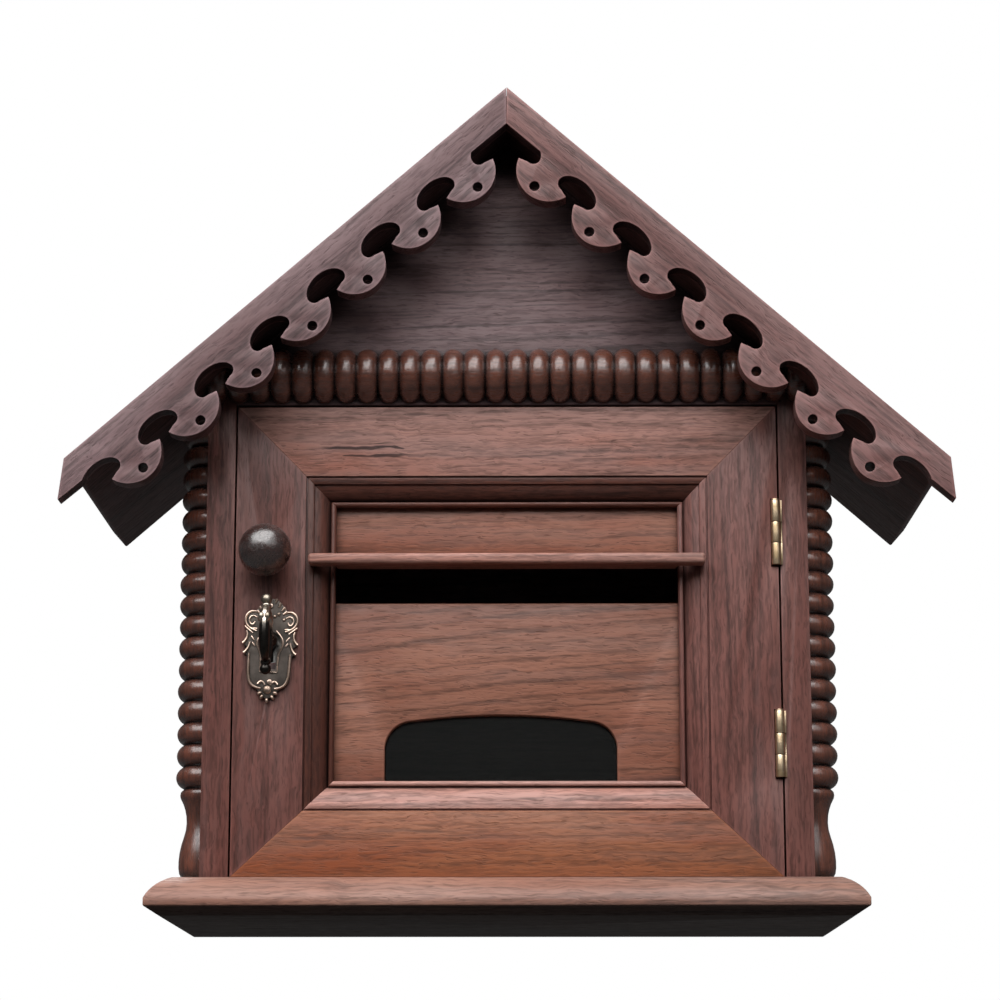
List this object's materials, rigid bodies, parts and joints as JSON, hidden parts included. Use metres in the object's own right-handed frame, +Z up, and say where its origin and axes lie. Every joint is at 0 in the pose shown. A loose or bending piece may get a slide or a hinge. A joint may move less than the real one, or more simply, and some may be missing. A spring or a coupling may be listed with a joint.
{
  "type": "suggestion box",
  "caption": "House-shaped wooden suggestion box with a framed, lockable door, a hooded letter slot, a small window and a pitched roof with fretted bargeboards.",
  "frame": {"origin": "centre of the base board's flat underside, between the base's front and back edges", "axes": "+X to the right of a person facing the door, +Y from the door to the back, +Z up"},
  "size_m": [0.4426, 0.1811, 0.416],
  "materials": {
    "wood_plain": "stained, satin oil",
    "wood_warm": "stained, satin oil",
    "wood_turned": "stained, satin wax",
    "wood_knob": "stained, polished",
    "antique_brass": "aged, dark in the hollows",
    "hinge_brass": "worn satin",
    "lock_steel": "plain sheet",
    "glass": "clear sheet glass"
  },
  "bodies": {
    "case": {"back_panel": "wood_plain", "bargeboard_left": "wood_plain", "bargeboard_right": "wood_plain", "base_board": "wood_plain", "column_left": "wood_turned", "column_right": "wood_turned", "gable_panel": "wood_plain", "gable_rod": "wood_turned", "hinge_case_leaf_lower": "hinge_brass", "hinge_case_leaf_upper": "hinge_brass", "hinge_case_screws": "hinge_brass", "hinge_pin_lower": "hinge_brass", "hinge_pin_upper": "hinge_brass", "roof_board_left": "wood_plain", "roof_board_right": "wood_plain", "side_wall_left": "wood_plain", "side_wall_right": "wood_plain", "strike_plate": "lock_steel", "strike_screws": "lock_steel"},
    "door": {"door_panel_lower": "wood_warm", "door_panel_upper": "wood_warm", "door_rail_bottom": "wood_warm", "door_rail_top": "wood_warm", "door_stile_left": "wood_plain", "door_stile_right": "wood_plain", "escutcheon": "antique_brass", "escutcheon_nails": "antique_brass", "hinge_door_leaf_lower": "hinge_brass", "hinge_door_leaf_upper": "hinge_brass", "hinge_door_screws": "hinge_brass", "knob": "wood_knob", "knob_screw": "lock_steel", "lock_case": "lock_steel", "lock_cover": "lock_steel", "lock_faceplate": "lock_steel", "lock_screws": "lock_steel", "moulding_bottom": "wood_warm", "moulding_left": "wood_warm", "moulding_right": "wood_warm", "moulding_top": "wood_warm", "slot_hood": "wood_warm", "window_pane": "glass"},
    "cam": {"lock_cam": "lock_steel"},
    "bolt": {"lock_bolt": "lock_steel"},
    "key": {"key": "antique_brass"}
  },
  "joints": [
    {"name": "door_swing", "type": "hinge", "parent": "case", "child": "door", "pos_m": [0.1355, -0.0593, 0], "axis": [0, 0, 1], "range_deg": [0, 90]},
    {"name": "cam_turn", "type": "hinge", "parent": "door", "child": "cam", "pos_m": [-0.1182, -0.0588, 0.1366], "axis": [0, -1, 0], "range_deg": [0, 90]},
    {"name": "bolt_throw", "type": "slide", "parent": "door", "child": "bolt", "axis": [-1, 0, 0], "range_m": [0, 0.0081]},
    {"name": "key_withdraw", "type": "slide", "parent": "cam", "child": "key", "axis": [0, -1, 0], "range_m": [0, 0.04]}
  ],
  "couplings": [
    {"joint": "bolt_throw", "follows": "cam_turn", "m_per_rad": 0.0050958}
  ]
}
